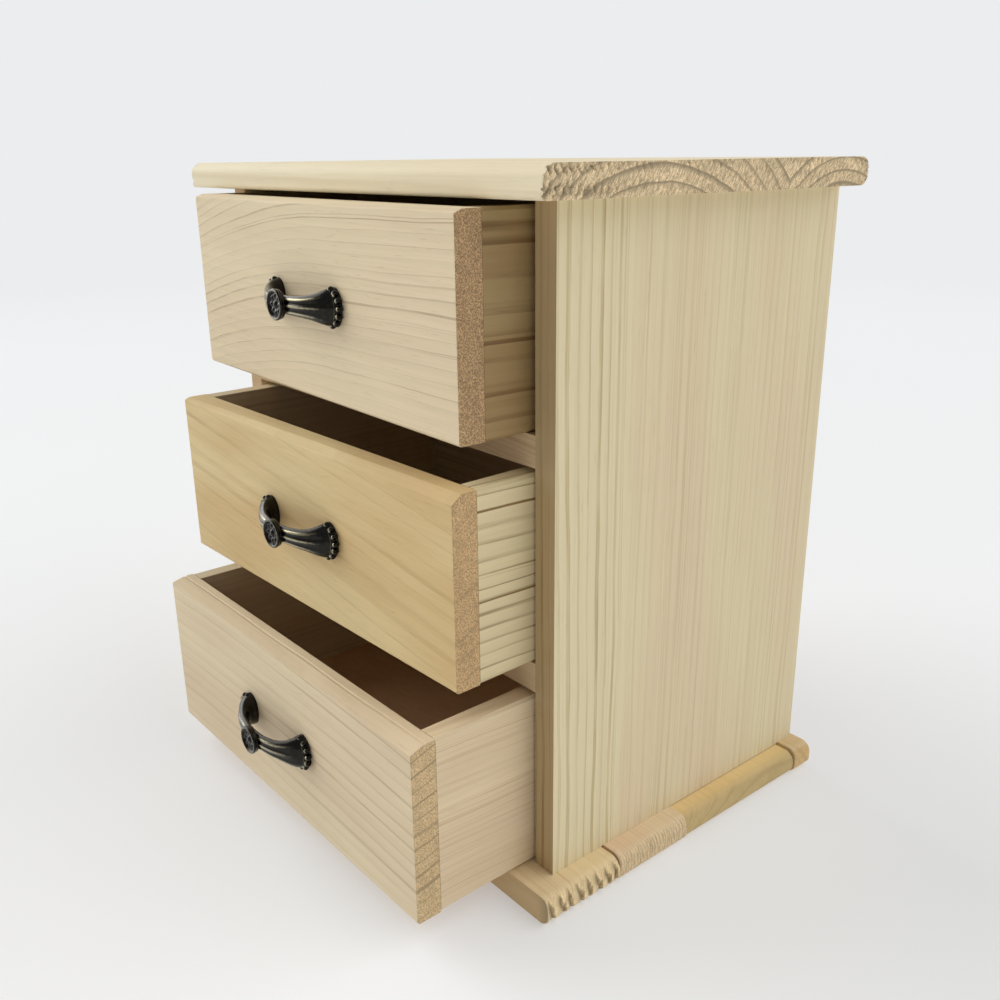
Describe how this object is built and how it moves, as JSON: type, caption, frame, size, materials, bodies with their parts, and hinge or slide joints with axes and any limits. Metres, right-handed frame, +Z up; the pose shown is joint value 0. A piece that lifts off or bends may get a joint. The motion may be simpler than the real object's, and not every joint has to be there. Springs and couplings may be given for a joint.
{
  "type": "wooden drawer organizer",
  "caption": "Small unfinished pine desktop chest of pull-out drawers with dark cast handles, glued-up overhanging base and rounded overhanging top.",
  "frame": {"origin": "centre of the base's underside", "axes": "+X to the object's right as seen from the front, +Y to its back, +Z up"},
  "size_m": [0.2178, 0.2021, 0.2452],
  "materials": {
    "top_pine": "raw",
    "side_pine": "raw",
    "shelf_pine": "raw",
    "base_pine": "raw",
    "front_pine": "raw",
    "drawer_pine": "raw",
    "plywood": "raw",
    "hardwood": "raw",
    "dark_bronze": "aged",
    "steel": "plain"
  },
  "bodies": {
    "carcass": {"top_board": "top_pine", "base_strip_front": "base_pine", "base_strip_second": "base_pine", "base_strip_third": "base_pine", "base_strip_rear": "base_pine", "left_side_panel": "side_pine", "right_side_panel": "side_pine", "upper_shelf": "shelf_pine", "lower_shelf": "shelf_pine", "back_panel": "plywood", "base_dowels": "hardwood", "top_dowels": "hardwood", "shelf_dowels": "hardwood", "back_brads": "steel"},
    "lower_drawer": {"lower_drawer_front": "front_pine", "lower_drawer_left_side": "drawer_pine", "lower_drawer_right_side": "drawer_pine", "lower_drawer_back": "drawer_pine", "lower_drawer_bottom": "plywood", "lower_drawer_handle": "dark_bronze", "lower_drawer_handle_screws": "steel", "lower_drawer_dowels": "hardwood", "lower_drawer_brads": "steel"},
    "middle_drawer": {"middle_drawer_front": "front_pine", "middle_drawer_left_side": "drawer_pine", "middle_drawer_right_side": "drawer_pine", "middle_drawer_back": "drawer_pine", "middle_drawer_bottom": "plywood", "middle_drawer_handle": "dark_bronze", "middle_drawer_handle_screws": "steel", "middle_drawer_dowels": "hardwood", "middle_drawer_brads": "steel"},
    "upper_drawer": {"upper_drawer_front": "front_pine", "upper_drawer_left_side": "drawer_pine", "upper_drawer_right_side": "drawer_pine", "upper_drawer_back": "drawer_pine", "upper_drawer_bottom": "plywood", "upper_drawer_handle": "dark_bronze", "upper_drawer_handle_screws": "steel", "upper_drawer_dowels": "hardwood", "upper_drawer_brads": "steel"}
  },
  "joints": [
    {"name": "lower_drawer_slide", "type": "slide", "parent": "carcass", "child": "lower_drawer", "axis": [0, -1, 0], "range_m": [-0.0505, 0.0545]},
    {"name": "middle_drawer_slide", "type": "slide", "parent": "carcass", "child": "middle_drawer", "axis": [0, -1, 0], "range_m": [-0.0346, 0.0704]},
    {"name": "upper_drawer_slide", "type": "slide", "parent": "carcass", "child": "upper_drawer", "axis": [0, -1, 0], "range_m": [-0.024, 0.081]}
  ]
}
